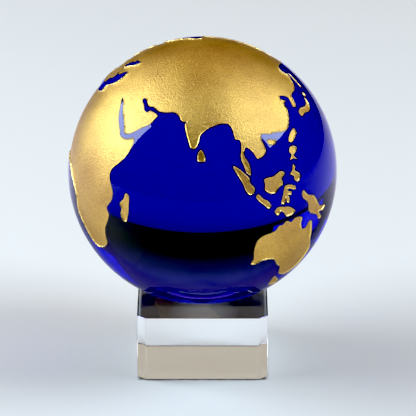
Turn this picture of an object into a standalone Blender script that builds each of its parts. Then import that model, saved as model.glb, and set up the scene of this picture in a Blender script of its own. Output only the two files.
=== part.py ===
"""A blue crystal globe whose land is etched into the ball, resting in the seat of a clear crystal stand.

Lengths are metres and +Z is up. The origin is the middle of the stand's underside, and the front faces -Y.
"""

import math

import bmesh
import bpy
from mathutils import Matrix, Vector
from mathutils.geometry import delaunay_2d_cdt
from mathutils.kdtree import KDTree

# Driving sizes
BALL_DIAMETER = 0.080
ETCH_DEPTH = 0.00035
STAND_WIDTH = 0.039
STAND_HEIGHT = 0.020
CORNER_CUT = 0.0023
EDGE_BEVEL = 0.00035
SEAT_DIAMETER = 0.016
SEAT_CLEARANCE = 0.0003

# How the globe lies in its seat, in degrees. The lean is the way the north pole tips, from +X towards +Y.
AXIS_TILT = 20.0
AXIS_LEAN = 68.0
AXIS_SPIN = 118.0

# How finely the ball is faceted, in degrees of arc, and the seat in facets
COAST_STEP = 2.1
SURFACE_STEP = 5.2
COAST_MARGIN = 1.5
SEAT_FACETS = 40
SEAT_RINGS = 72

# Colour, roughness, metallic value and transmission of each piece
BLUE_CRYSTAL = ((0.0, 0.0, 0.45, 1.0), 0.02, 0.0, 1.0)
CLEAR_CRYSTAL = ((0.95, 0.97, 1.0, 1.0), 0.02, 0.0, 1.0)

# The land, as (longitude, latitude) in degrees. Each stretch of coast runs on from the one before it.
RED_SEA_WEST = [
    (35.2, 28.5), (35.9, 26.5), (37.2, 23.3), (38.4, 20), (40.6, 16.2), (42.1, 13.8), (42.9, 12.1),
    (44.8, 11.2), (47.5, 11),
]
AFRICA_EAST = [
    (50.2, 11.7), (50.7, 9.9), (50, 7.4), (48.8, 4.7), (45.5, 1), (42, -2), (41, -4.7), (41.7, -8.3),
    (42.9, -11.8), (42, -15.2), (38.7, -19), (39.5, -21.6), (38, -24.7), (34.8, -28.6), (33, -33),
    (32.4, -35.8),
]
AFRICA_WEST = [
    (27.6, -38.6), (21.7, -39.5), (18, -39), (15.8, -36.6), (14, -31), (11.5, -25.5), (11.5, -21.5),
    (13, -17.5), (11.5, -12.6), (8, -7.8), (4.5, -4.3), (-1.5, -1.5), (-7, 1), (-12, 1), (-18, 2.5),
    (-23, 6.5), (-27, 11), (-26.5, 16), (-27, 20.5), (-24.5, 25), (-20.5, 28.5), (-19.5, 31),
    (-16.5, 33.5), (-14.5, 35),
]
BARBARY_COAST = [
    (-10, 33.8), (-4, 34.3), (1, 33.4), (4.5, 30.8), (8.5, 30), (13.4, 30.6), (13.5, 33), (17, 33.9),
    (21.4, 35.4), (23.8, 37.7), (24.5, 40), (24.4, 41.8),
]
MEDITERRANEAN_NORTH = [
    (21, 41.2), (17.8, 39.6), (13.5, 41), (14.8, 38.8), (13.3, 37.2), (9.8, 37), (7.8, 35), (5, 34.6),
    (0, 36.2), (-5, 38), (-9, 40.5), (-11, 42.5), (-14, 41.5), (-16.5, 38.8),
]
ATLANTIC_EUROPE = [
    (-19.5, 37), (-23.5, 38.5), (-24, 42), (-22.5, 45.5), (-17.5, 45.5), (-16, 47.5), (-19.5, 49.8),
    (-15.5, 51.3), (-13.5, 53.5), (-14.5, 56), (-17.5, 58.5), (-13.5, 59.3), (-13, 61.5), (-17, 62),
    (-23, 61), (-28, 62), (-26, 65), (-18, 67), (-9, 66), (-2, 67), (4, 69), (8, 71.5),
]
ARCTIC_COAST = [
    (11, 73.2), (17, 72.6), (24, 75), (33, 75.2), (42, 78), (30, 80.5), (0, 82.5), (-35, 84), (-75, 86),
    (-130, 86.5), (-165, 83.5), (-176, 79), (-178, 75), (-175, 70.5), (-171, 67.5),
]
OKHOTSK_COAST = [
    (-173, 64.8), (-177.5, 62.5), (179.5, 59.5), (179, 56), (177.5, 52.3), (176, 55), (176, 59),
    (173, 61.5), (164, 61.3), (155, 60.3), (148, 59.3), (141.5, 57.6), (138.8, 55.8), (139.3, 54.2),
    (142.8, 52.7), (142.3, 49.2), (140, 46), (136.4, 43.3),
]
CHINA_COAST = [
    (132.4, 41.6), (131, 40), (131.5, 37.8), (131.2, 35.4), (129, 34.8), (128.5, 37.5), (127.7, 39.2),
    (125, 39.9), (121.3, 39.4), (121.8, 37.8), (124.4, 37.4), (122.8, 36), (123.9, 33.5), (123.7, 30.3),
    (122.4, 26.2), (121, 24.2), (117.7, 22.9), (113.3, 22.1), (111.3, 21.3), (109, 21.2),
]
INDOCHINA = [
    (106.6, 20.5), (106.8, 18.7), (108.3, 16), (109.1, 13.6), (108, 11.8), (105.3, 10.3), (103.6, 12.2),
    (101.2, 14), (99.8, 14.3), (99.2, 13.1), (99.1, 11.2), (100.3, 9.4), (101.7, 7.6), (102.5, 5.4),
    (102.8, 3), (101, 4), (99.6, 6.5), (98.3, 8.7), (97.7, 10.6), (97.8, 13.5), (97, 17), (95, 17.3),
    (94.3, 18.8), (93.1, 21.7),
]
INDIA = [
    (91.5, 23.3), (89.5, 23.4), (86.8, 22.7), (84.5, 21.4), (82.8, 20.5), (81, 18.7), (79.7, 17),
    (79.4, 14.2), (78.7, 11.9), (77.5, 10.9), (76.3, 11.5), (75.2, 13.6), (73.6, 17.1), (72.3, 20.6),
    (72.7, 22.2), (71.4, 21.7), (70.2, 22.3), (69.2, 23.8), (67.5, 25), (65.5, 25.4),
]
PERSIAN_GULF = [
    (62, 24.8), (58.2, 25.1), (55.7, 26.5), (53, 26.6), (51.7, 27.7), (50.3, 29.4), (48.6, 29.9),
    (48, 29), (50, 26.7), (51.3, 24.5), (52.8, 23.8), (54.5, 24.6), (56.7, 24),
]
ARABIA = [
    (58.7, 22.9), (57.8, 21.1), (56.3, 18.9), (52.7, 16.8), (49.1, 14.4), (46.3, 13.3), (44.9, 13.8),
    (44, 16.1), (42.2, 19.3), (39.9, 22.5), (38.8, 24.7), (37.1, 27.2), (36.1, 28.3),
]
EURASIA_AND_AFRICA = (
    RED_SEA_WEST + AFRICA_EAST + AFRICA_WEST + BARBARY_COAST + MEDITERRANEAN_NORTH + ATLANTIC_EUROPE
    + ARCTIC_COAST + OKHOTSK_COAST + CHINA_COAST + INDOCHINA + INDIA + PERSIAN_GULF + ARABIA
)
BLACK_SEA = [
    (27, 48.4), (24.8, 46.4), (21.5, 45.8), (18, 45.2), (13.9, 44), (13.3, 45.4), (14.5, 46.7),
    (17.5, 47.8), (20.2, 48.4), (19.3, 49.5), (22.2, 49),
]

NORTH_AMERICA_ARCTIC = [
    (-168, 66), (-162.5, 67), (-166, 69), (-156.5, 71.3), (-141, 69.7), (-128, 70.2), (-115, 68.3),
    (-104, 68), (-96.5, 69), (-94, 72), (-89, 69.5), (-82, 68.8), (-86, 66.2),
]
HUDSON_BAY = [
    (-93.5, 62), (-94.5, 58.8), (-88, 56.8), (-82.3, 55), (-82, 52.8), (-79.3, 51.4), (-78.8, 54.3),
    (-76.8, 57), (-78, 60), (-77.5, 62.4), (-72, 62), (-69.7, 59), (-66, 60),
]
NORTH_AMERICA_EAST = [
    (-61.8, 57), (-57, 53.3), (-59.5, 50.4), (-66.5, 50.3), (-69, 48), (-64.8, 48.3), (-64, 46.4),
    (-60.5, 46), (-65.5, 43.6), (-67.5, 44.7), (-70.5, 43), (-70.3, 41.6), (-74, 40.4), (-75.8, 37.5),
    (-75.8, 35.3), (-79, 33.3), (-81.3, 31), (-80.2, 27), (-80.8, 25.3), (-82.3, 27), (-83.8, 29.8),
    (-89.5, 30), (-94.7, 29.3), (-97.3, 27), (-97.7, 23), (-95.8, 18.8), (-92, 18.6), (-90.3, 21),
    (-87, 21.4),
]
SOUTH_AMERICA_EAST = [
    (-88, 18), (-87.5, 15.9), (-84, 15.7), (-83.4, 11.5), (-81.5, 9.2), (-79.3, 9.7), (-76.8, 8.8),
    (-74.5, 11), (-72, 12), (-68, 11), (-62, 10.3), (-57.5, 6.6), (-51.8, 4.8), (-49.5, 0.5), (-41, -2.9),
    (-35.5, -5.3), (-35.2, -9), (-38.8, -13.5), (-39.5, -19), (-42, -22.8), (-47, -24.8), (-49, -29),
    (-53, -33.5), (-57.8, -34.8), (-57.5, -37.8), (-62, -39), (-65, -42.5), (-66, -46), (-68.8, -50.5),
    (-66.5, -54.7),
]
SOUTH_AMERICA_WEST = [
    (-71.5, -54.5), (-75, -50.5), (-74.8, -46), (-73.6, -41), (-73.3, -36.5), (-71.5, -31), (-70.3, -24),
    (-70.8, -18.3), (-76, -14), (-79.5, -7.8), (-81.3, -4.8), (-80, 0.5), (-77.5, 3.8), (-78, 7),
    (-80.8, 7.3), (-83.5, 8.5), (-85.8, 10.3), (-87.7, 12.8), (-92, 14.3), (-97, 15.8), (-102, 17.8),
    (-105.6, 20.3),
]
NORTH_AMERICA_WEST = [
    (-107, 24), (-110, 27.2), (-112.8, 30.2), (-114.4, 31.5), (-114.6, 29.6), (-112, 26.3), (-110, 23.2),
    (-112.3, 24.8), (-115, 27.8), (-117, 32), (-120.7, 34.6), (-122.6, 37.6), (-124.3, 40.5),
    (-124.2, 47.5), (-128, 51.3), (-131, 55.2), (-134.5, 58), (-140, 59.8), (-146, 60.8), (-151.5, 59.5),
    (-157, 57), (-163, 54.7), (-161.5, 56.8), (-158.5, 58.6), (-165.3, 61), (-164.5, 63), (-161.5, 64.2),
]
AMERICA = (
    NORTH_AMERICA_ARCTIC + HUDSON_BAY + NORTH_AMERICA_EAST + SOUTH_AMERICA_EAST + SOUTH_AMERICA_WEST
    + NORTH_AMERICA_WEST
)

AUSTRALIA = [
    (115.6, -36.8), (115.5, -34), (114, -31), (113, -28), (113, -24.7), (114.7, -22.4), (120.4, -19.4),
    (121.6, -17), (123.4, -16.4), (124.7, -14.7), (126.3, -14.7), (127.6, -15), (129.2, -13.1),
    (132, -12.3), (133.9, -12.7), (134.5, -15.3), (137.2, -17.6), (139.4, -16.7), (140.1, -14.2),
    (141.5, -13.7), (144.8, -17), (148.5, -21.6), (155.4, -26.5), (158, -30.6), (159.2, -35.5),
    (157, -39.5), (151.4, -41.8), (142.6, -41.2), (137.2, -37), (133.9, -36.2), (130.4, -34.3),
    (128.2, -33.2), (123.8, -33.6), (120.6, -34.7), (117.8, -36.8),
]
ISLANDS = {
    "madagascar": [
        (50, -11.3), (51.4, -12), (51.5, -15.7), (50.8, -20.5), (49.3, -23.6), (47.9, -23.4),
        (46.9, -20.6), (47.5, -18.3), (46.8, -16.1), (49, -13.7),
    ],
    "ceylon": [(80.8, 11), (79.8, 9), (80.1, 6.3), (81.5, 6), (83, 6.6), (82.3, 9.3)],
    "sumatra": [
        (94.9, 6), (97.7, 5.1), (99.9, 3.7), (102.6, 1.6), (103.2, -0.3), (105.3, -2), (105.3, -4.1),
        (103.9, -5), (101.9, -3.7), (99.9, -0.6), (97, 2.9),
    ],
    "java": [
        (107.4, -4.4), (110.1, -6.1), (112.5, -6.8), (114.5, -9), (113.7, -9.8), (110.7, -8.4),
        (107.8, -6.8), (106.6, -5.3),
    ],
    "borneo": [
        (109.2, 2), (110.3, 2.7), (113.5, 3.7), (116.8, 6.2), (118.9, 5.3), (117.6, 3), (118.6, 1.1),
        (116.7, -0.7), (115.2, -3.2), (111.7, -3.1), (110.2, -2.3), (109.8, 0),
    ],
    "celebes": [
        (120.8, 0.7), (125.2, 0.5), (125.8, -0.5), (124, -0.8), (121.7, -0.7), (121.6, -1.6),
        (123.8, -2.2), (123.7, -3.2), (122.2, -3.4), (123.1, -4.6), (123.4, -6.3), (122.2, -6.4),
        (121.4, -4.7), (121, -7.2), (119.6, -7.3), (119.5, -2.7), (119.7, 0),
    ],
    "timor": [
        (117, -10.7), (118.2, -9), (121.3, -8.6), (124.4, -8.4), (128, -10), (127.3, -11.1),
        (123.8, -12.5), (122.2, -11.2), (120, -10.6), (119.5, -11.9), (118.2, -12.1),
    ],
    "new_guinea": [
        (130.7, -1), (132.4, -1.9), (134.7, -2.8), (138.3, -2.8), (141.8, -5), (145.3, -7), (151, -6.8),
        (149, -9), (146.2, -9.5), (150.5, -12.2), (148.5, -12.8), (144.3, -10.7), (140.1, -10.5),
        (137, -9.1), (136, -6.8), (134.5, -5.5), (131.1, -3.9), (130.1, -2.2),
    ],
    "formosa": [
        (125.4, 24.8), (126.5, 23.1), (125.1, 21), (122.9, 18.7), (121.3, 18.9), (121.5, 20.6),
        (123.3, 23.4),
    ],
    "luzon": [
        (123.2, 17.2), (125.5, 16.7), (125.1, 15.1), (123.7, 13.3), (125.5, 11.6), (123.4, 12),
        (121.6, 11.2), (122.3, 13.3), (121, 14.9), (121.6, 16.4),
    ],
    "mindanao": [
        (123.2, 9.5), (124.4, 8.5), (124.4, 7), (127, 6.1), (127.7, 4.2), (126.2, 2.5), (124.5, 3.3),
        (123.8, 4.8), (121.9, 5.2), (122.8, 6.9),
    ],
    "hainan": [(109.8, 18.5), (112, 18.8), (114.3, 18.6), (113.4, 17.2), (111.8, 16.7), (110.3, 17.1)],
    "sakhalin": [
        (145.4, 53.8), (147.6, 53), (148.6, 49.5), (149.4, 46), (148, 45.3), (146.6, 48.5), (146, 51),
    ],
    "hokkaido": [(144, 42), (145.8, 43), (147.6, 42.2), (147, 40.9), (145, 40.8)],
    "honshu": [
        (143.8, 40.2), (145.3, 39), (145.1, 36.2), (141.8, 33.6), (137, 32.5), (133.4, 30.8), (132, 32.4),
        (134.2, 34.4), (139.3, 35.6), (142.3, 37.3),
    ],
    "tasmania": [(141.5, -43.3), (147, -44.2), (154, -46.4), (157, -48.6), (148, -49.5), (143.5, -46.3)],
    "new_zealand_north": [
        (177, -36), (180.5, -39.5), (185, -40), (182, -43.5), (179, -42.5), (178.5, -39.5),
    ],
    "new_zealand_south": [(177.5, -43.8), (179.5, -45.5), (175, -49.5), (170, -50), (171.5, -47.5)],
    "britain": [
        (-24, 51), (-19.5, 51.8), (-18, 53.5), (-20, 55.5), (-21, 58.5), (-24, 59.3), (-23.5, 56),
        (-22.2, 54),
    ],
    "ireland": [(-27, 52.3), (-24.8, 53), (-25.2, 55.3), (-28, 55.6), (-28.8, 53.6)],
    "iceland": [(-36, 58.5), (-31, 59), (-31.5, 61), (-36.5, 61.2), (-38.5, 59.8)],
    "greenland": [
        (-44, 60), (-50, 62.5), (-53.5, 67), (-54, 71), (-60, 75.5), (-68, 77), (-60, 79.5), (-46, 80.8),
        (-34, 79), (-27, 76.5), (-26, 74), (-29, 70.5), (-37, 66.5), (-42, 62),
    ],
    "baffin": [
        (-88, 73.2), (-80, 73.5), (-71, 71.3), (-62, 66.8), (-65, 63.2), (-71, 64.3), (-73.5, 67.5),
        (-79, 70), (-87, 71.2),
    ],
    "ellesmere": [(-89, 76.8), (-79, 76.5), (-76, 79), (-66, 81.8), (-76, 83.2), (-91, 81.3)],
    "victoria_island": [(-117.5, 70.6), (-116, 73), (-106, 73.2), (-102.5, 70.2), (-110, 69.6)],
    "newfoundland": [(-59.3, 47.7), (-56, 51.3), (-53, 48.5), (-54.5, 46.9)],
    "cuba": [(-84.8, 22), (-81.5, 23.3), (-77.5, 22.3), (-74.2, 20.2), (-77.8, 19.8), (-80.5, 21.8)],
    "hispaniola": [(-74.3, 19.8), (-70, 20), (-68.3, 18.5), (-71.3, 17.6), (-74.4, 18.3)],
    "antarctica": [
        (82, -86.3), (50, -86), (20, -84), (0, -81), (-20, -78), (-40, -75), (-57, -67), (-64, -66),
        (-66, -72), (-85, -71.5), (-110, -70.5), (-130, -71.5), (-150, -74), (-163, -79), (180, -77),
        (165, -75), (150, -78), (130, -83),
    ],
}
OUTLINES = [EURASIA_AND_AFRICA, BLACK_SEA, AMERICA, AUSTRALIA, *ISLANDS.values()]
OPEN_OCEAN = (-140, -20)


def clear_scene():
    for obj in list(bpy.data.objects):
        bpy.data.objects.remove(obj)


def material(name, finish):
    """A Principled material from a colour, a roughness, a metallic value and a transmission."""
    colour, roughness, metallic, transmission = finish
    made = bpy.data.materials.new(name)
    made.use_nodes = True
    made.diffuse_color = colour
    shader = made.node_tree.nodes["Principled BSDF"]
    shader.inputs["Base Color"].default_value = colour
    shader.inputs["Roughness"].default_value = roughness
    shader.inputs["Metallic"].default_value = metallic
    shader.inputs["Transmission Weight"].default_value = transmission
    return made


def add_object(name, mesh_builder, finish):
    mesh = bpy.data.meshes.new(name)
    mesh_builder.to_mesh(mesh)
    mesh_builder.free()
    obj = bpy.data.objects.new(name, mesh)
    bpy.context.scene.collection.objects.link(obj)
    mesh.materials.append(material(name + "_finish", finish))
    return obj


def direction(longitude, latitude):
    """The unit vector from the globe's middle to a place, before the globe is tilted."""
    lon, lat = math.radians(longitude), math.radians(latitude)
    return Vector((math.cos(lat) * math.cos(lon), math.cos(lat) * math.sin(lon), math.sin(lat)))


def curve_point(p0, p1, p2, p3, share):
    """A point between p1 and p2 on the centripetal Catmull-Rom curve through all four."""
    t0 = 0.0
    t1 = t0 + math.sqrt((p1 - p0).length)
    t2 = t1 + math.sqrt((p2 - p1).length)
    t3 = t2 + math.sqrt((p3 - p2).length)
    t = t1 + (t2 - t1) * share
    a1 = p0.lerp(p1, (t - t0) / (t1 - t0))
    a2 = p1.lerp(p2, (t - t1) / (t2 - t1))
    a3 = p2.lerp(p3, (t - t2) / (t3 - t2))
    b1 = a1.lerp(a2, (t - t0) / (t2 - t0))
    b2 = a2.lerp(a3, (t - t1) / (t3 - t1))
    return b1.lerp(b2, (t - t1) / (t2 - t1))


def coast_loop(outline):
    """The outline as a smooth closed loop of unit vectors, no more than COAST_STEP apart."""
    corners = [direction(*place) for place in outline]
    count = len(corners)
    loop = []
    for i in range(count):
        p0, p1, p2, p3 = (corners[(i + k - 1) % count] for k in range(4))
        pieces = max(1, math.ceil(math.degrees(p1.angle(p2)) / COAST_STEP))
        loop += [curve_point(p0, p1, p2, p3, k / pieces).normalized() for k in range(pieces)]
    return loop


def even_directions(step):
    """Unit vectors spread evenly over the sphere on a golden spiral, about step degrees apart."""
    count = round(4 * math.pi / (math.radians(step) ** 2 * math.sqrt(3) / 2))
    golden_turn = math.pi * (3 - math.sqrt(5))
    spread = []
    for i in range(count):
        z = 1 - (2 * i + 1) / count
        ring = math.sqrt(1 - z * z)
        spread.append(Vector((ring * math.cos(golden_turn * i), ring * math.sin(golden_turn * i), z)))
    return spread


def away_from(points, others, angle):
    """The points that are more than angle degrees from all of the others."""
    tree = KDTree(len(others))
    for i, other in enumerate(others):
        tree.insert(other, i)
    tree.balance()
    gap = 2 * math.sin(math.radians(angle) / 2)
    return [p for p in points if tree.find(p)[2] > gap]


def triangles_over_sphere(points, loops, far_point):
    """Triangles over the unit sphere that keep every side of the loops. They come from flattening the sphere
    from far_point, which joins the points as the last one, and closes the hull around it."""
    axes = far_point.to_track_quat("Z", "Y").to_matrix().transposed()
    flat = []
    for point in points:
        x, y, z = axes @ point
        flat.append(Vector((x / (1 - z), y / (1 - z))))
    sides = [(loop[i - 1], loop[i]) for loop in loops for i in range(len(loop))]
    found, _, faces, *_ = delaunay_2d_cdt(flat, sides, [], 0, 1e-9)
    if len(found) != len(flat):
        raise ValueError("two coasts cross or touch")
    uses = {}
    for face in faces:
        for i in range(3):
            side = frozenset((face[i - 1], face[i]))
            uses[side] = uses.get(side, 0) + 1
    hull = [tuple(side) for side, count in uses.items() if count == 1]
    return [tuple(face) for face in faces] + [(a, b, len(points)) for a, b in hull]


def land_flags(faces, loops, ocean_corner):
    """True for each face on land. The walk starts at a face around ocean_corner, and each coast that it
    crosses turns sea into land or land into sea."""
    coast = {frozenset((loop[i - 1], loop[i])) for loop in loops for i in range(len(loop))}
    by_side = {}
    for number, face in enumerate(faces):
        for i in range(3):
            by_side.setdefault(frozenset((face[i - 1], face[i])), []).append(number)
    start = next(number for number, face in enumerate(faces) if ocean_corner in face)
    flags = {start: False}
    waiting = [start]
    while waiting:
        number = waiting.pop()
        face = faces[number]
        for i in range(3):
            side = frozenset((face[i - 1], face[i]))
            for other in by_side[side]:
                if other not in flags:
                    flags[other] = flags[number] != (side in coast)
                    waiting.append(other)
    return [flags[number] for number in range(len(faces))]


def etched_ball(radius, depth):
    """A ball whose land lies depth below its surface, inside walls that follow the coasts."""
    loops, points = [], []
    for outline in OUTLINES:
        loop = coast_loop(outline)
        loops.append(range(len(points), len(points) + len(loop)))
        points += loop
    far_point = direction(*OPEN_OCEAN)
    grid = away_from(even_directions(SURFACE_STEP), points, COAST_MARGIN)
    points += away_from(grid, [far_point], SURFACE_STEP / 2)
    faces = triangles_over_sphere(points, loops, far_point)
    flags = land_flags(faces, loops, len(points))
    points.append(far_point)

    built = bmesh.new()
    corners = {}

    def corner(number, on_land):
        key = (number, on_land)
        if key not in corners:
            corners[key] = built.verts.new(points[number] * (radius - depth if on_land else radius))
        return corners[key]

    for face, on_land in zip(faces, flags):
        a, b, c = (points[number] for number in face)
        outward = (b - a).cross(c - a).dot(a) > 0
        ordered = face if outward else face[::-1]
        built.faces.new([corner(number, on_land) for number in ordered])
    for loop in loops:
        for i in range(len(loop)):
            a, b = loop[i - 1], loop[i]
            built.faces.new([corner(a, False), corner(b, False), corner(b, True), corner(a, True)])
    bmesh.ops.recalc_face_normals(built, faces=built.faces)
    return built


def globe_tilt():
    """Turns the upright globe to how it lies in its seat."""
    lean = Matrix.Rotation(math.radians(AXIS_LEAN), 4, "Z")
    tilt = Matrix.Rotation(math.radians(AXIS_TILT), 4, "Y")
    spin = Matrix.Rotation(math.radians(AXIS_SPIN), 4, "Z")
    return lean @ tilt @ spin


def ball_height():
    """Height of the ball's middle. The seat's rim lies a clearance away from the ball, at the stand's top."""
    seat_radius = BALL_DIAMETER / 2 + SEAT_CLEARANCE
    return STAND_HEIGHT + math.sqrt(seat_radius**2 - (SEAT_DIAMETER / 2) ** 2)


def make_ball():
    ball = add_object("crystal_ball", etched_ball(BALL_DIAMETER / 2, ETCH_DEPTH), BLUE_CRYSTAL)
    ball.matrix_world = Matrix.Translation((0, 0, ball_height())) @ globe_tilt()
    ball.data.shade_smooth()
    ball.data.set_sharp_from_angle(angle=math.radians(30))
    return ball


def stand_block():
    """A square block with its four upright corners cut off and its top and bottom edges bevelled."""
    half, inner = STAND_WIDTH / 2, STAND_WIDTH / 2 - CORNER_CUT
    outline = []
    for quarter in range(4):
        turn = Matrix.Rotation(quarter * math.pi / 2, 3, "Z")
        outline += [turn @ Vector((half, -inner, 0)), turn @ Vector((half, inner, 0))]
    block = bmesh.new()
    floor = block.faces.new([block.verts.new(point) for point in outline])
    raised = bmesh.ops.extrude_face_region(block, geom=[floor])["geom"]
    for vertex in (item for item in raised if isinstance(item, bmesh.types.BMVert)):
        vertex.co.z = STAND_HEIGHT
    bmesh.ops.recalc_face_normals(block, faces=block.faces)
    level = [edge for edge in block.edges if abs(edge.verts[0].co.z - edge.verts[1].co.z) < EDGE_BEVEL / 10]
    bmesh.ops.bevel(block, geom=level, offset=EDGE_BEVEL, segments=1, affect="EDGES")
    return block


def make_seat_cutter():
    """A ball a clearance larger than the globe, in the globe's place, which hollows out the seat."""
    round_mesh = bmesh.new()
    bmesh.ops.create_uvsphere(
        round_mesh, u_segments=SEAT_FACETS, v_segments=SEAT_RINGS, radius=BALL_DIAMETER / 2 + SEAT_CLEARANCE
    )
    cutter = add_object("seat_cutter", round_mesh, CLEAR_CRYSTAL)
    cutter.location = (0, 0, ball_height())
    cutter.hide_render = True
    cutter.display_type = "WIRE"
    return cutter


def make_stand():
    stand = add_object("crystal_stand", stand_block(), CLEAR_CRYSTAL)
    seat = stand.modifiers.new("seat", "BOOLEAN")
    seat.operation = "DIFFERENCE"
    seat.object = make_seat_cutter()
    return stand


clear_scene()
make_stand()
make_ball()
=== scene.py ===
"""The dressed blue crystal globe: polished crystal with etched, gilded land, on its clear stand."""

import math

import bmesh
import bpy
import numpy as np
from mathutils import Matrix, Vector
from mathutils.geometry import delaunay_2d_cdt
from mathutils.kdtree import KDTree


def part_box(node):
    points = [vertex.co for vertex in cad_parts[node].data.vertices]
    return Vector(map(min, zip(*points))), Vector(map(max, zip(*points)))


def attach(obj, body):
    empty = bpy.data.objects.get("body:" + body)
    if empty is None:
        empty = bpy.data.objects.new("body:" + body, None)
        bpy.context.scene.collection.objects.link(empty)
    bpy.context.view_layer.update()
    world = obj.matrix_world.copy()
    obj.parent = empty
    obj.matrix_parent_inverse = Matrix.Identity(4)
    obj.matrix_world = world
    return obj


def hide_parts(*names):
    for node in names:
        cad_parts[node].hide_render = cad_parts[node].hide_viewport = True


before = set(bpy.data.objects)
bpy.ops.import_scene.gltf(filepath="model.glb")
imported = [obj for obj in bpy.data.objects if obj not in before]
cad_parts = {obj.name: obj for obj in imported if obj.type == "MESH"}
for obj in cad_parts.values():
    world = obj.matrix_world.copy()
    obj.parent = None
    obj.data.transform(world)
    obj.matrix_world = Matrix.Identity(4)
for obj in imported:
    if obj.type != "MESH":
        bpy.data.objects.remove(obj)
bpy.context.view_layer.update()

# Etched coasts, in metres. Distances are measured inland from the coast, so they are negative at sea. The
# wall goes down from its start to its end, rows of points follow the coast, and painted shade darkens the
# crystal at the shore.
WALL_START = -0.00005
WALL_END = 0.00032
COAST_STEP = 0.00021
COAST_ROWS = (-0.00052, -0.0003, -0.00005, 0.00008, 0.00016, 0.00024, 0.00032, 0.0006)
ROW_TOLERANCE = 0.00002
GRID_STEP = 0.0011
CLEAR_OF_COAST = 0.0011
SHORE_SHADE_START = -0.0005
SHORE_SHADE_WIDTH = 0.0002
SPHERE_FIT_ROUNDS = 30

# Stand, in metres: the cut at each corner, the roundings of the level and upright edges, and the seat
CORNER_CUT = 0.0023
POLISHED_EDGE = 0.00024
ROUNDED_CORNER = 0.0003
SEAT_RADIUS = 0.008
SEAT_SEGMENTS = 96
SEAT_RINGS = 14

# Floor, in metres: its size, its gap below the stand, and half the width of the square of painted shadow
# under the stand
FLOOR_RADIUS = 0.85
FLOOR_DROP = 0.0003
SHADED_HALF = 0.019

# Camera: the photograph's frame and focal length in pixels, its elevation in degrees, where the ball falls in
# the frame, and the level of light below which the photograph is black
FRAME_PIXELS = 416
FOCAL_PIXELS = 3300
ELEVATION = 22
BALL_PIXEL = (202.5, 170.5)
BALL_RADIUS_PIXELS = 134.3
BLACK_LEVEL = 0.056

# Studio lights stand this far from the ball, in metres
LIGHT_DISTANCE = 0.9


def unit(v):
    return v / np.linalg.norm(v, axis=-1, keepdims=True)


def new_object(name, mesh):
    obj = bpy.data.objects.new(name, mesh)
    bpy.context.scene.collection.objects.link(obj)
    return obj


class Nodes:
    """A short way to build a node tree."""

    def __init__(self, tree):
        self.tree = tree

    def add(self, kind, inputs=None, **settings):
        node = self.tree.nodes.new(kind)
        for key, value in settings.items():
            setattr(node, key, value)
        for key, value in (inputs or {}).items():
            if isinstance(value, bpy.types.NodeSocket):
                self.tree.links.new(value, node.inputs[key])
            else:
                node.inputs[key].default_value = value
        return node


def shader_material(name, **values):
    made = bpy.data.materials.new(name)
    made.use_nodes = True
    nodes = Nodes(made.node_tree)
    shader = made.node_tree.nodes["Principled BSDF"]
    for key, value in values.items():
        shader.inputs[key.replace("_", " ")].default_value = value
    return made, nodes, shader


def colour_ramp(nodes, value, stops):
    """The colour that a value has on a ramp, whose stops are given as (position, red, green, blue)."""
    ramp = nodes.add("ShaderNodeValToRGB", {"Fac": value})
    elements = ramp.color_ramp.elements
    elements.remove(elements[1])
    elements[0].position = stops[0][0]
    elements[0].color = (*stops[0][1:], 1)
    for position, *colour in stops[1:]:
        elements.new(position).color = (*colour, 1)
    return ramp.outputs["Color"]


def read_coasts(node):
    """The solid ball's middle, radius and land radius, and its coast lines, with the land on their right."""
    built = bmesh.new()
    built.from_mesh(node.data)
    bmesh.ops.remove_doubles(built, verts=built.verts, dist=1e-6)
    co = np.array([v.co for v in built.verts])
    # The middle of the sphere that fits the outermost points best
    centre = (co.min(0) + co.max(0)) / 2
    for _ in range(SPHERE_FIT_ROUNDS):
        r = np.linalg.norm(co - centre, axis=1)
        outer = r > (r.min() + r.max()) / 2
        a = np.c_[2 * co[outer], np.ones(outer.sum())]
        centre = np.linalg.lstsq(a, (co[outer] ** 2).sum(1), rcond=None)[0][:3]
    r = np.linalg.norm(co - centre, axis=1)
    outer = r > (r.min() + r.max()) / 2
    radius, land_radius = r[outer].mean(), r[~outer].mean()
    built.verts.index_update()
    following = {}
    for face in built.faces:
        if all(outer[v.index] for v in face.verts):
            for loop in face.loops:
                others = [f for f in loop.edge.link_faces if f is not face]
                if others and not all(outer[v.index] for v in others[0].verts):
                    following[loop.vert.index] = loop.link_loop_next.vert.index
    coasts = []
    while following:
        start, here = next(iter(following.items()))
        ring = [start]
        del following[start]
        while here != start:
            ring.append(here)
            here = following.pop(here)
        coasts.append(unit(co[ring] - centre))
    built.free()
    return centre, radius, land_radius, coasts


def smooth_ring(ring, step):
    """Points about step apart, as an angle, on the smooth closed curve through the ring's points."""
    n = len(ring)
    out = []
    for i in range(n):
        p0, p1, p2, p3 = (ring[(i + k - 1) % n] for k in range(4))
        length = np.linalg.norm(p2 - p1)
        t0, t1 = 0.0, math.sqrt(np.linalg.norm(p1 - p0))
        t2 = t1 + math.sqrt(length)
        t3 = t2 + math.sqrt(np.linalg.norm(p3 - p2))
        pieces = max(1, round(length / step))
        for k in range(pieces):
            t = t1 + (t2 - t1) * k / pieces
            a1 = p0 * (t1 - t) / (t1 - t0) + p1 * (t - t0) / (t1 - t0)
            a2 = p1 * (t2 - t) / (t2 - t1) + p2 * (t - t1) / (t2 - t1)
            a3 = p2 * (t3 - t) / (t3 - t2) + p3 * (t - t2) / (t3 - t2)
            b1 = a1 * (t2 - t) / (t2 - t0) + a2 * (t - t0) / (t2 - t0)
            b2 = a2 * (t3 - t) / (t3 - t1) + a3 * (t - t1) / (t3 - t1)
            out.append(b1 * (t2 - t) / (t2 - t1) + b2 * (t - t1) / (t2 - t1))
    return unit(np.array(out))


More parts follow.
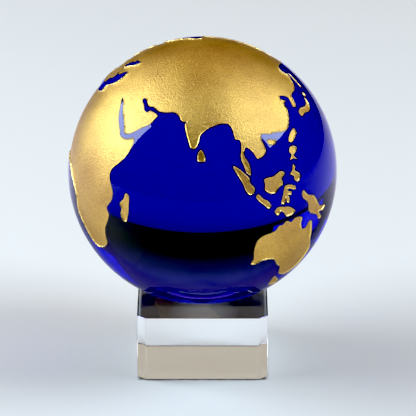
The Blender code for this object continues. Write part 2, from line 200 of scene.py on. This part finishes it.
class Coasts:
    """The coast lines on the unit sphere, as one list of points, and the distances inland from them."""

    def __init__(self, rings, radius):
        self.radius = radius
        line, inland, after = [], [], []
        for ring in rings:
            start = sum(len(r) for r in line)
            tangent = unit(np.roll(ring, -1, 0) - np.roll(ring, 1, 0))
            line.append(ring)
            inland.append(unit(np.cross(tangent, ring)))
            after += [start + (i + 1) % len(ring) for i in range(len(ring))]
        self.line = np.concatenate(line)
        self.inland = np.concatenate(inland)
        self.after = np.array(after)
        self.before = np.empty_like(self.after)
        self.before[self.after] = np.arange(len(self.after))
        self.tree = KDTree(len(self.line))
        for i, p in enumerate(self.line):
            self.tree.insert(p, i)
        self.tree.balance()

    def measure(self, p):
        """Distance inland from the coast, and the direction inland, at a point of the unit sphere."""
        _, i, _ = self.tree.find(p)
        best = None
        for a, b in ((self.before[i], i), (i, self.after[i])):
            side = self.line[b] - self.line[a]
            share = min(1.0, max(0.0, np.dot(p - self.line[a], side) / np.dot(side, side)))
            away = p - (self.line[a] + side * share)
            gap = math.sqrt(np.dot(away, away))
            if best is None or gap < best[0]:
                best = (gap, away, self.inland[a] * (1 - share) + self.inland[b] * share)
        gap, away, towards = best
        if gap < 1e-6:
            return 0.0, towards
        if np.dot(away, towards) < 0:
            return -gap * self.radius, -away / gap
        return gap * self.radius, away / gap


def sphere_points(coasts):
    """Points on the unit sphere, the coast lines first, and apart from them a pole in open sea."""
    points = [coasts.line]
    for row in COAST_ROWS:
        moved = unit(coasts.line + coasts.inland * row / coasts.radius)
        keep = [abs(abs(coasts.measure(p)[0]) - abs(row)) < ROW_TOLERANCE for p in moved]
        points.append(moved[keep])

    # An even spiral of points over the rest of the sphere
    step = GRID_STEP / coasts.radius
    count = round(4 * math.pi / (step**2 * math.sqrt(3) / 2))
    i = np.arange(count)
    z = 1 - (2 * i + 1) / count
    turn = i * math.pi * (3 - math.sqrt(5))
    ring = np.sqrt(1 - z * z)
    grid = np.c_[ring * np.cos(turn), ring * np.sin(turn), z]
    grid = grid[[abs(coasts.measure(p)[0]) > CLEAR_OF_COAST for p in grid]]
    points = np.concatenate([*points, grid])

    # A sample of the spiral is enough to find the widest sea
    pole = min(grid[::7], key=lambda p: coasts.measure(p)[0])
    near_pole = np.linalg.norm(points - pole, axis=1) < step / 2
    return points[~near_pole], pole


def sphere_faces(points, pole, coasts):
    """Triangles that keep to the coast lines and face out. The pole comes last in their numbering.

    The sphere is flattened from the pole, and the edges that only one triangle uses are joined to it.
    """
    axes = np.array(Vector(pole).to_track_quat("Z", "Y").to_matrix().transposed())
    turned = points @ axes.T
    flat = turned[:, :2] / (1 - turned[:, 2:])
    sides = [(int(coasts.before[k]), k) for k in range(len(coasts.line))]
    found, _, triangles, *_ = delaunay_2d_cdt([Vector(p) for p in flat], sides, [], 0, 1e-10)
    if len(found) != len(points):
        raise RuntimeError("two coasts cross")
    single = {}
    for triangle in triangles:
        for k in range(3):
            a, b = triangle[k - 1], triangle[k]
            if (b, a) in single:
                del single[(b, a)]
            else:
                single[(a, b)] = True
    faces = np.array([tuple(t) for t in triangles] + [(b, a, len(points)) for a, b in single])
    corners = np.vstack([points, pole])[faces]
    a, b, c = corners[:, 0], corners[:, 1], corners[:, 2]
    inward = (np.cross(b - a, c - a) * a).sum(1) < 0
    faces[inward] = faces[inward][:, ::-1]
    return faces


def globe_mesh(node):
    """A fine closed mesh of the ball, etched with rounded walls. The land takes the second material."""
    centre, radius, land_radius, rings = read_coasts(node)
    coasts = Coasts([smooth_ring(ring, COAST_STEP / radius) for ring in rings], radius)
    points, pole = sphere_points(coasts)
    faces = sphere_faces(points, pole, coasts)
    points = np.vstack([points, pole])

    measured = [coasts.measure(p) for p in points]
    distance = np.array([m[0] for m in measured])
    towards = np.array([m[1] for m in measured])
    distance[: len(coasts.line)] = 0
    towards[: len(coasts.line)] = coasts.inland
    depth = radius - land_radius
    share = np.clip((distance - WALL_START) / (WALL_END - WALL_START), 0, 1)
    height = radius - depth * share * share * (3 - 2 * share)
    slope = depth * 6 * share * (1 - share) / (WALL_END - WALL_START)
    normals = unit(points + towards * slope[:, None])

    mesh = bpy.data.meshes.new("crystal_globe")
    mesh.from_pydata(centre + points * height[:, None], [], faces.tolist())
    # The wall value carries the gilding's painted highlight and its smoother polish
    wall = mesh.attributes.new("wall", "FLOAT", "POINT")
    wall.data.foreach_set("value", np.clip(8 * share * (1 - share), 0, 1))
    # The shore value grows towards the coast and carries the crystal's painted shade along it
    shore = mesh.attributes.new("shore", "FLOAT", "POINT")
    shore.data.foreach_set("value", np.clip((distance - SHORE_SHADE_START) / SHORE_SHADE_WIDTH, 0, 1))
    inland = distance[faces].mean(1) > 0
    mesh.polygons.foreach_set("material_index", inland.astype(int))
    mesh.shade_smooth()
    mesh.normals_split_custom_set_from_vertices(normals.tolist())
    mesh.update()
    return mesh, Vector(centre), radius


def uneven_polish(nodes, shader, scale, roughest):
    """Polish that is nearly perfect, with soft patches of a little roughness."""
    place = nodes.add("ShaderNodeTexCoord").outputs["Object"]
    patches = nodes.add("ShaderNodeTexNoise", {"Vector": place, "Scale": scale, "Detail": 3.0})
    soft = nodes.add("ShaderNodeMapRange", {
        "Value": patches.outputs["Fac"], "From Min": 0.45, "From Max": 0.8, "To Min": 0.0, "To Max": roughest,
    })
    nodes.tree.links.new(soft.outputs["Result"], shader.inputs["Roughness"])


def blue_crystal():
    """Deep blue crystal, with painted shade along the foot of the etched walls."""
    open_sea, painted_shore_shade = (0.0, 0.0, 0.42, 1), (0.0, 0.0, 0.03, 1)
    made, nodes, shader = shader_material(
        "blue_crystal", Base_Color=open_sea, Roughness=0.0, IOR=1.52, Transmission_Weight=1.0
    )
    uneven_polish(nodes, shader, 60.0, 0.02)
    # Painted shade: the crystal darkens to nearly black along the coasts
    shore = nodes.add("ShaderNodeAttribute", attribute_name="shore").outputs["Fac"]
    tone = nodes.add("ShaderNodeMixRGB", {"Fac": shore, "Color1": open_sea, "Color2": painted_shore_shade})
    nodes.tree.links.new(tone.outputs[0], shader.inputs["Base Color"])
    return made


def clear_crystal():
    made, nodes, shader = shader_material(
        "clear_crystal", Base_Color=(0.97, 0.98, 1.0, 1), Roughness=0.0, IOR=1.52, Transmission_Weight=1.0
    )
    uneven_polish(nodes, shader, 90.0, 0.03)
    return made


def gilding():
    """Satin gold over the blasted ground: fine sandy grain, slow changes of tone, and smoother walls with a
    painted highlight in a brighter colour.
    """
    made, nodes, shader = shader_material("gilding", Metallic=1.0, Roughness=0.45)
    place = nodes.add("ShaderNodeTexCoord").outputs["Object"]
    wall = nodes.add("ShaderNodeAttribute", attribute_name="wall").outputs["Fac"]
    slow = nodes.add("ShaderNodeTexNoise", {"Vector": place, "Scale": 70.0, "Detail": 2.0})
    speck = nodes.add("ShaderNodeTexNoise", {"Vector": place, "Scale": 1900.0, "Detail": 2.0})
    both = nodes.add("ShaderNodeMath", {0: slow.outputs["Fac"], 1: speck.outputs["Fac"]}, operation="ADD")
    share = nodes.add("ShaderNodeMapRange", {"Value": both.outputs[0], "From Min": 0.7, "From Max": 1.3})
    tone = colour_ramp(nodes, share.outputs["Result"], ((0.0, 0.58, 0.35, 0.13), (1.0, 0.9, 0.64, 0.2)))
    # Painted highlight: the walls take a brighter gold colour
    wall_highlight = nodes.add("ShaderNodeMixRGB", {"Fac": wall, "Color1": tone, "Color2": (0.98, 0.77, 0.33, 1)})
    nodes.tree.links.new(wall_highlight.outputs[0], shader.inputs["Base Color"])
    rough = nodes.add("ShaderNodeMapRange", {
        "Value": speck.outputs["Fac"], "From Min": 0.3, "From Max": 0.7, "To Min": 0.31, "To Max": 0.41,
    })
    smoother = nodes.add(
        "ShaderNodeMath", {0: wall, 1: -0.1, 2: rough.outputs["Result"]}, operation="MULTIPLY_ADD")
    nodes.tree.links.new(smoother.outputs[0], shader.inputs["Roughness"])
    grain = nodes.add("ShaderNodeTexNoise", {
        "Vector": place, "Scale": 2300.0, "Detail": 3.0, "Roughness": 0.6,
    })
    bump = nodes.add("ShaderNodeBump", {
        "Height": grain.outputs["Fac"], "Strength": 1.0, "Distance": 0.00026,
    })
    nodes.tree.links.new(bump.outputs["Normal"], shader.inputs["Normal"])
    return made


def cut_block(half, bottom, top):
    """A closed square block with cut corners, whose upright and level edges are rounded."""
    inner = half - CORNER_CUT
    block = bmesh.new()
    outline = []
    for quarter in range(4):
        turn = Matrix.Rotation(quarter * math.pi / 2, 3, "Z")
        outline += [turn @ Vector((half, -inner, bottom)), turn @ Vector((half, inner, bottom))]
    base = block.faces.new([block.verts.new(p) for p in outline])
    raised = bmesh.ops.extrude_face_region(block, geom=[base])["geom"]
    for vertex in (item for item in raised if isinstance(item, bmesh.types.BMVert)):
        vertex.co.z = top
    bmesh.ops.recalc_face_normals(block, faces=block.faces)

    def rise(edge):
        return abs(edge.verts[0].co.z - edge.verts[1].co.z)

    upright = [e for e in block.edges if rise(e) > top / 2]
    bmesh.ops.bevel(
        block, geom=upright, offset=ROUNDED_CORNER, segments=5, profile=0.5, affect="EDGES")
    level = [e for e in block.edges if rise(e) < top / 2]
    bmesh.ops.bevel(
        block, geom=level, offset=POLISHED_EDGE, segments=3, profile=0.5, affect="EDGES")
    return block


def stand_mesh(ball_middle):
    """The cut block, as large as the solid, with a seat that follows the ball at its gap."""
    low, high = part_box("crystal_stand")
    top = high.z
    block = cut_block((high.x - low.x) / 2, low.z, top)
    upper = max(block.faces, key=lambda f: f.calc_center_median().z + f.calc_area())
    bmesh.ops.delete(block, geom=[upper], context="FACES_ONLY")

    # The seat, in rings from its rim to its lowest point
    seat_sphere = math.hypot(SEAT_RADIUS, ball_middle.z - top)
    around = [2 * math.pi * i / SEAT_SEGMENTS for i in range(SEAT_SEGMENTS)]
    rows = []
    for k in range(SEAT_RINGS, 0, -1):
        r = SEAT_RADIUS * k / SEAT_RINGS
        z = top if k == SEAT_RINGS else ball_middle.z - math.sqrt(seat_sphere**2 - r * r)
        rows.append([block.verts.new((r * math.cos(t), r * math.sin(t), z)) for t in around])
    for outer, inner in zip(rows, rows[1:]):
        for i in range(SEAT_SEGMENTS):
            block.faces.new([outer[i - 1], outer[i], inner[i], inner[i - 1]])
    lowest = block.verts.new((0, 0, ball_middle.z - seat_sphere))
    for i in range(SEAT_SEGMENTS):
        block.faces.new([rows[-1][i - 1], rows[-1][i], lowest])

    # The top face, between the seat's rim and the rounded edges
    rim = rows[0]
    rim_edges = [block.edges.get((rim[i - 1], rim[i])) for i in range(SEAT_SEGMENTS)]
    outer_edges = [e for e in block.edges if e.is_boundary and e not in rim_edges]
    bmesh.ops.triangle_fill(block, edges=rim_edges + outer_edges, use_dissolve=False, use_beauty=True)
    bmesh.ops.recalc_face_normals(block, faces=block.faces)
    mesh = bpy.data.meshes.new("crystal_block")
    block.to_mesh(mesh)
    block.free()

    # Small faces are parts of a rounding or of the seat, and are smooth. The large ones and the top are flat.
    mesh.set_sharp_from_angle(angle=math.radians(25))
    for face in mesh.polygons:
        in_top = all(abs(mesh.vertices[v].co.z - top) < 1e-6 for v in face.vertices)
        face.use_smooth = face.area < 0.00002 and not in_top
    return mesh


# The pieces
globe_data, ball_middle, ball_radius = globe_mesh(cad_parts["crystal_ball"])
globe = new_object("crystal_globe", globe_data)
globe_data.materials.append(blue_crystal())
globe_data.materials.append(gilding())
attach(globe, "root")
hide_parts("crystal_ball")

block = new_object("crystal_block", stand_mesh(ball_middle))
block.data.materials.append(clear_crystal())
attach(block, "root")
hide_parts("crystal_stand")


def floor_paint():
    """Pale matt paint, with a painted shadow and a painted pool of light under the block, and painted shade
    in reflections.
    """
    made, nodes, shader = shader_material("floor_paint", Roughness=0.7)
    place = nodes.add("ShaderNodeTexCoord").outputs["Object"]
    across = nodes.add("ShaderNodeVectorMath", {0: place}, operation="ABSOLUTE").outputs[0]
    sides = nodes.add("ShaderNodeSeparateXYZ", {0: across})
    distance = nodes.add("ShaderNodeVectorMath", {0: place}, operation="LENGTH").outputs["Value"]

    # Painted shadow under the block, with a painted pool of light in its middle
    widest = nodes.add(
        "ShaderNodeMath", {0: sides.outputs["X"], 1: sides.outputs["Y"]}, operation="MAXIMUM")
    open_air = nodes.add("ShaderNodeMapRange", {
        "Value": widest.outputs[0], "From Min": SHADED_HALF - 0.0005, "From Max": SHADED_HALF + 0.0005,
    })
    edge = nodes.add("ShaderNodeMapRange", {"Value": distance, "From Min": 0.003, "From Max": 0.011})
    shade = nodes.add("ShaderNodeMixRGB", {
        "Fac": edge.outputs["Result"], "Color1": (0.62, 0.6, 0.57, 1), "Color2": (0.2, 0.19, 0.18, 1),
    })
    paint = nodes.add("ShaderNodeMixRGB", {
        "Fac": open_air.outputs["Result"], "Color1": shade.outputs[0], "Color2": (0.8, 0.82, 0.84, 1),
    })

    # In reflections the floor has painted light in front and to the sides, and painted shade round the stand,
    # most behind it
    along = nodes.add("ShaderNodeSeparateXYZ", {0: place}).outputs["Y"]
    backward = nodes.add(
        "ShaderNodeMath", {0: sides.outputs["X"], 1: -0.4, 2: along}, operation="MULTIPLY_ADD")
    share = nodes.add("ShaderNodeMapRange", {
        "Value": backward.outputs[0], "From Min": -0.04, "From Max": 0.0,
    })
    near_reflection_shade = colour_ramp(nodes, share.outputs["Result"], (
        (0.0, 1.2, 1.16, 1.0),
        (0.17, 0.97, 0.88, 0.88),
        (0.33, 0.93, 0.8, 0.8),
        (0.53, 0.78, 0.67, 0.7),
        (0.9, 0.47, 0.44, 0.5),
    ))
    beyond = nodes.add("ShaderNodeMapRange", {"Value": distance, "From Min": 0.1, "From Max": 0.17})
    reflection_shade = nodes.add("ShaderNodeMixRGB", {
        "Fac": beyond.outputs["Result"], "Color1": near_reflection_shade, "Color2": (1.0, 0.92, 1.18, 1),
    })
    image = nodes.add("ShaderNodeMixRGB", {
        "Fac": 1.0, "Color1": paint.outputs[0], "Color2": reflection_shade.outputs[0],
    }, blend_type="MULTIPLY")
    # Only reflection rays see the painted reflection shade and light
    mirrored = nodes.add("ShaderNodeLightPath").outputs["Is Reflection Ray"]
    seen = nodes.add("ShaderNodeMixRGB", {
        "Fac": mirrored, "Color1": paint.outputs[0], "Color2": image.outputs[0],
    })
    nodes.tree.links.new(seen.outputs[0], shader.inputs["Base Color"])
    return made


# Floor: a round pale table top
floor_mesh = bmesh.new()
bmesh.ops.create_circle(floor_mesh, cap_ends=True, segments=128, radius=FLOOR_RADIUS)
floor_data = bpy.data.meshes.new("floor")
floor_mesh.to_mesh(floor_data)
floor_mesh.free()
floor = new_object("floor", floor_data)
floor_data.materials.append(floor_paint())
floor.location.z = -FLOOR_DROP


def sky():
    """Soft surround: dark at the horizon and in front, paler above, and plain pale as the background."""
    world = bpy.data.worlds.new("studio")
    bpy.context.scene.world = world
    world.use_nodes = True
    nodes = Nodes(world.node_tree)
    place = nodes.add("ShaderNodeTexCoord").outputs["Generated"]
    parts = nodes.add("ShaderNodeSeparateXYZ", {0: place})
    height = colour_ramp(nodes, parts.outputs["Z"], (
        (0.0, 0.006, 0.006, 0.01),
        (0.13, 0.008, 0.008, 0.012),
        (0.26, 0.25, 0.21, 0.17),
        (0.35, 0.535, 0.49, 0.405),
        (0.46, 0.535, 0.49, 0.405),
        (0.56, 0.74, 0.57, 0.46),
        (0.8, 0.5, 0.37, 0.3),
        (0.9, 0.24, 0.18, 0.15),
        (1.0, 0.2, 0.15, 0.13),
    ))
    front = nodes.add("ShaderNodeMapRange", {
        "Value": parts.outputs["Y"], "From Min": -0.6, "From Max": 0.2, "To Min": 0.06, "To Max": 1.0,
    })
    room = nodes.add("ShaderNodeMixRGB", {
        "Fac": 1.0, "Color1": height, "Color2": front.outputs["Result"],
    }, blend_type="MULTIPLY")
    direct = nodes.add("ShaderNodeLightPath").outputs["Is Camera Ray"]
    seen = nodes.add("ShaderNodeMixRGB", {
        "Fac": direct, "Color1": room.outputs[0], "Color2": (0.76, 0.8, 0.86, 1),
    })
    nodes.tree.links.new(seen.outputs[0], world.node_tree.nodes["Background"].inputs["Color"])


def soft_box(name, azimuth, elevation, size, colour, radiance):
    """A rectangular light that faces the ball, in degrees and metres. Azimuths run from +X towards +Y."""
    light = bpy.data.lights.new(name, "AREA")
    light.shape = "RECTANGLE"
    light.size, light.size_y = size
    light.color = colour
    light.energy = radiance * math.pi * size[0] * size[1]
    box = bpy.data.objects.new(name, light)
    bpy.context.scene.collection.objects.link(box)
    a, e = math.radians(azimuth), math.radians(elevation)
    out = Vector((math.cos(e) * math.cos(a), math.cos(e) * math.sin(a), math.sin(e)))
    box.location = ball_middle + out * LIGHT_DISTANCE
    box.rotation_euler = out.to_track_quat("Z", "Y").to_euler()
    return box


sky()
soft_box("left_window", 177, 32, (0.66, 0.54), (0.8, 0.92, 1.0), 8.0)
soft_box("right_window", -7, 42, (0.46, 0.5), (0.8, 0.92, 1.0), 8.6)
# Panels behind, seen only through the crystal: they light the ball's lower rim and the edges of the stand
for panel in (
    ("upper_left", 126, 57, (0.62, 0.25), (0.06, 0.04, 1.0), 1.5),
    ("upper_right", 54, 57, (0.62, 0.25), (0.06, 0.04, 1.0), 1.5),
    ("rear_left", 138, 30, (0.3, 0.36), (0.9, 0.93, 1.0), 1.5),
    ("rear_right", 42, 30, (0.3, 0.36), (0.9, 0.93, 1.0), 1.5),
    ("low_left", 128, 4, (0.5, 0.2), (0.9, 0.93, 1.0), 1.8),
):
    box = soft_box(*panel)
    box.visible_glossy = False
    box.visible_diffuse = False

# Camera
scene = bpy.context.scene
camera_data = bpy.data.cameras.new("camera")
camera_data.sensor_fit = "HORIZONTAL"
camera_data.sensor_width = 36
camera_data.lens = 36 * FOCAL_PIXELS / FRAME_PIXELS
camera = bpy.data.objects.new("camera", camera_data)
scene.collection.objects.link(camera)
camera.rotation_euler = (math.radians(90 - ELEVATION), 0, 0)
away = FOCAL_PIXELS / BALL_RADIUS_PIXELS * ball_radius
offset = Vector((
    (BALL_PIXEL[0] - FRAME_PIXELS / 2) / FOCAL_PIXELS * away,
    (FRAME_PIXELS / 2 - BALL_PIXEL[1]) / FOCAL_PIXELS * away,
    -away,
))
camera.location = ball_middle - camera.rotation_euler.to_matrix() @ offset
scene.camera = camera
scene.view_settings.view_transform = "Standard"
scene.view_settings.use_curve_mapping = True
scene.view_settings.curve_mapping.black_level = (BLACK_LEVEL, BLACK_LEVEL, BLACK_LEVEL)
scene.view_settings.curve_mapping.update()
